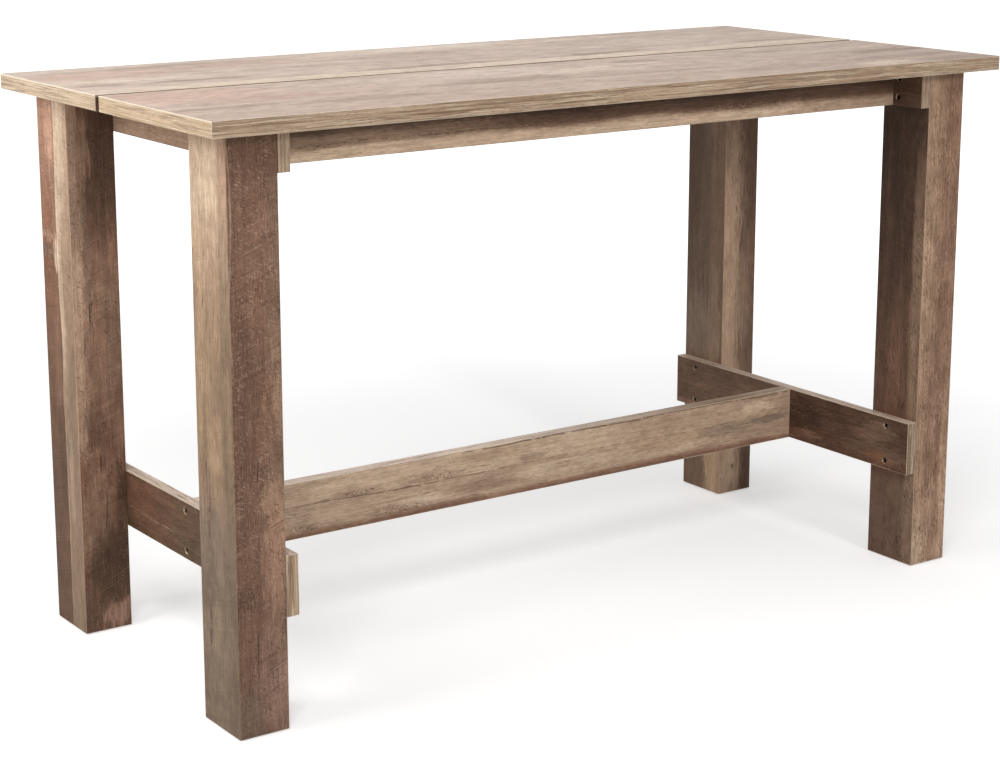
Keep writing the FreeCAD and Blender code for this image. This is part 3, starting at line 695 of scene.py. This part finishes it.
def lower_right_rail():
    """Dark brown towards the front, greyer behind the stretcher, red-brown low down."""
    paper = PlankPrint("lower_end_rail_right", "-Y", "+Z", ("5A4032", "5A4032", "76574A"), 131, wide=18)
    paper.wash(TAUPE, 0.55, high=320, fade=16)
    paper.wash(UMBER, 0.45, low=330, fade=20, left=30, edge=16)
    # Dark beside the stretcher's end: partly print, partly painted shade where it meets the rail.
    paper.patch(BARK, 0.55, 372, 52, 90, 60)
    paper.patch(BARK, 0.25, 430, 62, 120, 46)
    paper.patch(TAUPE, 0.35, 555, 24, 150, 34)
    paper.patch(RUSSET, 0.50, 375, 17, 70, 14)
    paper.patch("8A5F45", 0.50, 562, 14, 60, 22)
    paper.wash(ROSE, 0.35, right=8, edge=4, high=340)
    paper.patch(TAUPE, 0.5, 560, 60, 90, 40)
    paper.ticks(TAUPE, 0.7, long=9, wide=1.4, few=0.59, seed=1)
    paper.knot(630, 16, 4, 0.9)
    paper.seam(BARK, 0.35, 38, 20, 300, 1.0, broken=0.3)
    paper.weather(streak=0.22, fibre=0.22, cloud=0.30)
    paper.worn_highlit_corner()
    paper.raw_holes(end_rail_holes(paper.node_name), BOLT_HOLE)
    paper.paste()


def lower_left_rail():
    """Red-brown above and olive brown below, parted by a thin pale line."""
    paper = PlankPrint("lower_end_rail_left", "-Y", "+Z", ("4C382B", "584234", "6B4F3F"), 144, wide=18)
    paper.wash("7A5846", 0.25, left=34, edge=3)
    paper.wash("594937", 0.50, right=33, edge=3)
    paper.wash("5C4D38", 0.35, low=270, fade=70)
    paper.seam(SAND, 0.45, 33, 110, 276, 1.3, broken=0.4)
    paper.patch("7A5846", 0.35, 240, 16, 110, 30)
    paper.patch("7A5846", 0.45, 165, 50, 110, 80)
    paper.ticks(BARK, 0.5, long=14, wide=1.4, few=0.60, seed=2)
    paper.ticks(SAND, 0.35, long=5, wide=1.4, few=0.62, seed=1)
    paper.weather(streak=0.24, fibre=0.27, cloud=0.26)
    paper.worn_highlit_corner()
    paper.raw_holes(end_rail_holes(paper.node_name), BOLT_HOLE)
    paper.paste()


lower_right_rail()
lower_left_rail()
# Their upward bands are paled with painted light.
for side, seed, share in (("left", 151, 0.0), ("right", 157, 0.6)):
    BandPrint(f"lower_end_rail_{side}_bands", "Y", "Z", "X", seed, end_card="6E5638", end_share=share,
              top_light_card="E4CFBD", top_light_share=0.72, corner_highlight_share=0.7, pitch=4.5)

# Stretcher
# One board between the lower end rails, on the middle line, held at each end by two bolts that
# run through the rail into barrel nuts. The end rails' own bolts are of the same dark steel.


def stretcher_print():
    """Tan planks with cream patches and crumbled spots, greyer below a thin dark joint.

    The lower edge is red-brown, and slate smudges lie near the right end.
    """
    paper = PlankPrint("stretcher", "+X", "+Z", (FAWN, SAND, SAND), 171, wide=15)
    paper.wash(CREAM, 0.36)
    paper.wash(TAUPE, 0.25, right=51, edge=3)
    paper.wash(FAWN, 0.35, low=860, fade=260)
    paper.patch(CREAM, 0.80, 1150, 68, 80, 20, soft=0.3)
    paper.patch(CREAM, 0.40, 740, 72, 120, 16)
    paper.patch(CREAM, 0.60, 410, 24, 80, 16, soft=0.3)
    paper.patch(CREAM, 0.40, 730, 34, 260, 22)
    paper.patch(SAND, 0.50, 1000, 26, 220, 26)
    paper.patch(CREAM, 0.30, 940, 20, 200, 14)
    paper.patch(FAWN, 0.45, 560, 78, 160, 16)
    paper.patch("C8AA8E", 0.45, 930, 40, 190, 22)
    paper.patch(SLATE, 0.55, 1184, 43, 100, 14)
    paper.patch("C8AA8E", 0.45, 1120, 61, 160, 16)
    paper.patch(SLATE, 0.40, 1074, 36, 110, 16)
    paper.patch(TAUPE, 0.45, 545, 26, 110, 22)
    paper.patch(TAUPE, 0.45, 410, 58, 70, 12)
    paper.patch(TAUPE, 0.45, 640, 60, 60, 12)
    paper.seam(UMBER, 0.45, 51, 200, 560, 1.4, broken=0.2)
    paper.wash(RUSSET, 0.85, right=9, edge=6)
    paper.patch(WALNUT, 0.5, 420, 7, 260, 12)
    paper.wash(UMBER, 0.40, right=4, edge=6)
    paper.seam(UMBER, 0.50, 51, 120, 1100, 1.1, broken=0.4)
    paper.seam(UMBER, 0.75, 91, 500, 1230, 1.6, broken=0.3)
    for crumbled in ((290, 57, 90, 12), (455, 58, 90, 14), (370, 16, 110, 14), (185, 15, 60, 12)):
        paper.crumbs(*crumbled, share=0.75)
    paper.ticks(CREAM, 0.6, long=9, wide=1.2, few=0.62, seed=1, low=900)
    paper.ticks(UMBER, 0.7, long=22, wide=1.2, few=0.61, seed=2)
    paper.weather(streak=0.18, fibre=0.16, cloud=0.22)
    paper.worn_highlit_corner()
    paper.paste()


stretcher_print()
# Its upward band is paled by painted light, fading to painted shade towards the right end.
BandPrint("stretcher_bands", "X", "Z", "Y", 181, top_light_card="F0DCCA", top_light_share=2.4, top_light_far_share=-0.25)

dark_steel = Finish("dark_plated_steel", roughness=0.38, metallic=1.0, specular=0.5)
dark_steel.colour = dark_steel.ramp(dark_steel.noise(2.5, 2.5, detail=4), "2C2722", "453F38", "6E675E")
dark_steel.dress("stretcher_bolts", "leg_bolts")

steel = Finish("zinc_plated_steel", roughness=0.34, metallic=1.0, specular=0.5)
steel.colour = steel.ramp(steel.noise(2.5, 2.5, detail=4), "A5A39E", "C4C2BD", "D6D5D1")
steel.roughen(steel.noise(4, 0.5, detail=3), 0.26, 0.46)
steel.dress("barrel_nuts")

# Upper end rails
# Two narrower boards bolted to the inner faces of the legs, up against the underside of the top,
# with the same printed paper, edge bands and counterbored holes as the lower ones.

for side, seed in (("left", 191), ("right", 203)):
    paper = PlankPrint(f"upper_end_rail_{side}", "-Y", "+Z", (UMBER, WALNUT, TAUPE), seed, wide=18)
    if side == "left":
        paper.wash(SAND, 0.6, high=420)
    else:
        paper.wash(UMBER, 0.75, low=500)
    paper.patch(FAWN, 0.4, 300, 30, 200, 26)
    paper.ticks(SAND, 0.45, long=14, wide=1.2, few=0.62)
    paper.weather()
    paper.worn_highlit_corner(share=0.1)
    paper.raw_holes(end_rail_holes(paper.node_name), BOLT_HOLE)
    paper.paste()
    # The bands, with painted shade on their thin sides.
    BandPrint(f"upper_end_rail_{side}_bands", "Y", "Z", "X", seed + 5, thin_shade_card="54402F",
              corner_highlight_share=0.0)

# Upper long rails
# Two boards between the upper end rails, set back under the top, and a plain cross rail between
# them at mid-length. Cam locks, cam dowels and beech dowels pull their ends up tight.

for side, seed in (("front", 211), ("back", 224)):
    paper = PlankPrint(f"upper_long_rail_{side}", "+X", "+Z", (FAWN, SAND, SAND), seed, wide=14)
    paper.wash("E6CDB0", 1.0, right=15, edge=8)
    paper.wash(ROSE, 0.30, right=14, edge=6, low=160, fade=200)
    # Dark upper band: partly print, partly painted shadow of the top's overhang, darkest just under it.
    paper.wash(WALNUT, 0.75, left=20, edge=5, low=330, fade=200)
    paper.wash(TAUPE, 0.30, left=24, edge=5, high=330, fade=200)
    paper.wash(UMBER, 0.60, left=24, edge=8, low=420, fade=200)
    paper.wash(BARK, 0.75, left=37, edge=14)
    paper.wash(WALNUT, 0.35, low=1020, fade=200)
    paper.seam(UMBER, 0.45, 22, 20, 420, 2.2, broken=0.6)
    for along, across, long in ((110, 21, 130), (300, 23, 160), (470, 22, 120), (900, 22, 200)):
        paper.crumbs(along, across, long, 9, share=0.6)
    paper.patch(CREAM, 0.5, 900, 8, 130, 12)
    paper.patch(CREAM, 0.4, 620, 7, 200, 10)
    paper.ticks(WALNUT, 0.5, long=20, wide=1.2, few=0.61, seed=1)
    paper.weather(streak=0.18, fibre=0.16, cloud=0.20)
    paper.worn_highlit_corner()
    paper.paste()
    BandPrint(f"upper_long_rail_{side}_bands", "X", "Z", "Y", seed + 5)

paper = PlankPrint("upper_cross_rail", "-Y", "+Z", (WALNUT, TAUPE, FAWN), 231, wide=14)
paper.weather()
paper.worn_highlit_corner()
paper.raw_ends("Z")
paper.paste()

zinc = Finish("cast_zinc", roughness=0.42, metallic=1.0, specular=0.5)
zinc.colour = zinc.ramp(zinc.noise(2, 2, detail=5, rough=0.7), "8B8A87", "A9A8A5", "BDBCB9")
zinc.emboss(zinc.noise(0.9, 0.9, detail=3), 0.4, 0.1)
zinc.dress("cam_locks")
steel.dress("cam_dowels")

beech = Finish("beech_dowel", roughness=0.6)
beech.colour = beech.ramp(beech.noise(3, 0.8, detail=4), "B68F62", "C9A577", "DBBD93")
beech.dress("wood_dowels")

# Top boards
# Two wide boards side by side with an open gap between them, the palest paper of all, in long
# streaks with a cream plank along the gap. Their bands carry bold oak lines.

IVORY, MIST, GREIGE, MAUVE, HEATHER = "D6C3AF", "CBBAAC", "BFAC9E", "B19B8D", "998476"


def back_board():
    """A cream plank along the gap with dark streaks beside it, and pink-brown on the left."""
    paper = PlankPrint("top_board_back", "+X", "-Y", (MAUVE, GREIGE, MIST), 241, long=230, wide=28)
    paper.wash(MIST, 0.7, right=34, edge=26, high=560, fade=300)
    paper.patch(IVORY, 0.6, 90, 200, 340, 44)
    paper.patch(HEATHER, 0.40, 300, 62, 300, 60)
    paper.patch(IVORY, 0.65, 900, 50, 560, 60)
    paper.patch("E2D6CB", 0.45, 770, 32, 360, 64)
    paper.patch("C09A87", 0.40, 110, 120, 260, 110)
    paper.patch("C09A87", 0.30, 380, 90, 300, 70)
    paper.patch(IVORY, 0.45, 620, 40, 260, 60)
    dark_streaks = ((60, 254, 110, 0.6), (225, 262, 190, 0.85), (640, 294, 300, 0.8),
                    (1000, 290, 190, 0.95), (1400, 274, 220, 0.8), (740, 120, 110, 0.4),
                    (560, 198, 200, 0.3), (1000, 44, 90, 0.4))
    for along, across, long, share in dark_streaks:
        paper.patch(HEATHER, share, along, across, long, 24, soft=0.3)
    paper.wash(IVORY, 0.70, left=306, edge=12)
    paper.seam("84715F", 0.45, 304, 500, 1090, 1.8, broken=0.4)
    paper.ticks("7C6857", 0.60, long=30, wide=3.0, few=0.57, seed=1)
    paper.weather(streak=0.08, fibre=0.08, cloud=0.20)
    paper.worn_highlit_corner()
    paper.paste(relief=0.25, low=0.42, high=0.54)


def front_board():
    """A pink-brown start on the left, cloudy grey-brown streaks, and mauve towards the front."""
    paper = PlankPrint("top_board_front", "+X", "-Y", (MAUVE, GREIGE, MIST), 262, long=230, wide=28)
    paper.patch("C09A87", 0.45, 90, 80, 300, 170)
    paper.patch("C09A87", 0.35, 260, 170, 300, 70)
    paper.patch("B29E8C", 0.45, 150, 300, 420, 80)
    paper.patch(HEATHER, 0.30, 170, 190, 260, 90)
    paper.wash(MAUVE, 0.65, left=190, edge=160)
    paper.patch(IVORY, 0.50, 760, 120, 200, 50)
    paper.patch(MIST, 0.50, 240, 205, 480, 14)
    dark_streaks = ((600, 170, 260, 56, 0.7), (850, 212, 290, 20, 0.7), (300, 252, 270, 40, 0.7),
                    (950, 62, 110, 34, 0.8), (1240, 70, 60, 30, 0.5), (90, 232, 180, 22, 0.7),
                    (1090, 285, 200, 70, 0.5), (1400, 258, 260, 40, 0.7), (800, 315, 70, 40, 0.5))
    for along, across, long, wide, share in dark_streaks:
        paper.patch(HEATHER, share, along, across, long, wide, soft=0.3)
    paper.wash(HEATHER, 0.30, low=1150, fade=500)
    paper.patch("857060", 0.75, 1440, 168, 180, 46, soft=0.4)
    paper.patch("857060", 0.45, 1450, 330, 190, 50, soft=0.4)
    paper.patch(IVORY, 0.60, 1285, 322, 110, 56)
    paper.patch(IVORY, 0.50, 900, 100, 230, 14)
    paper.patch(IVORY, 0.50, 1460, 100, 120, 14)
    paper.seam("84715F", 0.5, 190, 430, 900, 1.8, broken=0.6)
    paper.patch("D8CABD", 0.35, 650, 62, 260, 90)
    paper.ticks("7C6857", 0.45, long=20, wide=5, few=0.58, seed=7)
    paper.ticks("7C6857", 0.60, long=30, wide=3.0, few=0.57, seed=1)
    paper.weather(streak=0.08, fibre=0.08, cloud=0.20)
    paper.worn_highlit_corner()
    paper.paste(relief=0.25, low=0.42, high=0.54)


back_board()
front_board()
# Their bands, with painted shade in the gap and a painted highlight along the ends' top edge.
for side, seed, card in (("back", 271, "D4BE9F"), ("front", 283, "CAB08C")):
    BandPrint(f"top_board_{side}_bands", "X", "Y", "Z", seed, pitch=2.3, end_card=card, end_share=0.6,
              gap_shade_lip_highlight=0.7, corner_highlight_share=0.9)

# Angle brackets and screws
# Small pressed-steel angles under the top, plated like the barrel nuts. They are screwed up into
# the boards and sideways into the rails.

steel.dress("angle_brackets", "bracket_screws")

# Studio
# A white floor that keeps a soft shadow, a key light at the table's left end, a broad light
# overhead, a small one in front and a larger one high on the left, and the camera at the
# photograph's angle.

FLOOR_REACH = 40.0
FLOOR_GREY = 0.8
GLOW_STARTS, GLOW_FULL = 900, 3600
GLOW_NEAR = 0.42
FILL_LIGHT = 0.275
LENS, SENSOR, SHIFT = 79.307, 36, -0.08
CAMERA_PLACE = (-2.12614, -2.99086, 1.29931)
CAMERA_DOWN, CAMERA_RIGHT = 12.2445, 34.9237

scene = bpy.context.scene
scene.view_settings.view_transform = "Standard"


def area_light(name, place, target, size, power):
    """A square lamp turned towards a target."""
    lamp = bpy.data.lights.new(name, "AREA")
    lamp.size, lamp.energy = size, power
    softbox = bpy.data.objects.new(name, lamp)
    softbox.location = place
    softbox.rotation_euler = (Vector(target) - Vector(place)).to_track_quat("-Z", "Y").to_euler()
    scene.collection.objects.link(softbox)


area_light("key_light", (-2.0, 0.1, 1.4), (-0.7, 0, 0.75), 1.0, 18)
area_light("overhead_light", (0.2, 0, 3.2), (0, 0, 0.5), 2.5, 30)
area_light("front_light", (0.3, -3.6, 2.15), (0, 0, 0.5), 0.55, 34)
area_light("high_light", (-2.2, -2.4, 3.3), (0, 0, 0.5), 1.2, 54)


def seen_directly(nodes, links):
    """1 for rays from the camera, a gloss or a glass, and 0 for the light that falls on things."""
    path = nodes.new("ShaderNodeLightPath")
    total = path.outputs["Is Camera Ray"]
    for name in ("Is Glossy Ray", "Is Transmission Ray"):
        either = nodes.new("ShaderNodeMath")
        either.operation = "MAXIMUM"
        links.new(total, either.inputs[0])
        links.new(path.outputs[name], either.inputs[1])
        total = either.outputs[0]
    return total


def white_level(nodes, links, unseen, seen):
    """A strength that differs between what is seen directly and the light it gives."""
    level = nodes.new("ShaderNodeMapRange")
    links.new(seen_directly(nodes, links), level.inputs["Value"])
    level.inputs["To Min"].default_value, level.inputs["To Max"].default_value = unseen, seen
    return level


world = bpy.data.worlds.new("white_studio")
world.use_nodes = True
scene.world = world
tree = world.node_tree
background = tree.nodes["Background"]
background.inputs["Color"].default_value = (1, 1, 1, 1)
level = white_level(tree.nodes, tree.links, FILL_LIGHT, 1.0)
tree.links.new(level.outputs[0], background.inputs["Strength"])

sheet = bmesh.new()
bmesh.ops.create_grid(sheet, x_segments=1, y_segments=1, size=FLOOR_REACH)
floor_mesh = bpy.data.meshes.new("floor")
sheet.to_mesh(floor_mesh)
sheet.free()
floor = bpy.data.objects.new("floor", floor_mesh)
scene.collection.objects.link(floor)
floor_paint = Finish("floor_paint", roughness=1.0, specular=0.0)
floor_mesh.materials.append(floor_paint.material)
floor_paint.shader.inputs["Base Color"].default_value = (FLOOR_GREY, FLOOR_GREY, FLOOR_GREY, 1)
floor_paint.shader.inputs["Emission Color"].default_value = (1, 1, 1, 1)
away = floor_paint.add("VectorMath", floor_paint.place, operation="LENGTH", out=1)
glow = floor_paint.step(away, GLOW_STARTS, GLOW_FULL, GLOW_NEAR, 1.0)
level = white_level(floor_paint.nodes, floor_paint.links, 0.0, 1.0)
floor_paint.links.new(glow, level.inputs["To Max"])
floor_paint.links.new(level.outputs[0], floor_paint.shader.inputs["Emission Strength"])

camera = bpy.data.objects.new("camera", bpy.data.cameras.new("camera"))
camera.data.sensor_width = SENSOR
camera.data.lens = LENS
camera.data.shift_y = SHIFT
camera.location = CAMERA_PLACE
camera.rotation_euler = (math.radians(90 - CAMERA_DOWN), 0, math.radians(-CAMERA_RIGHT))
scene.collection.objects.link(camera)
scene.camera = camera
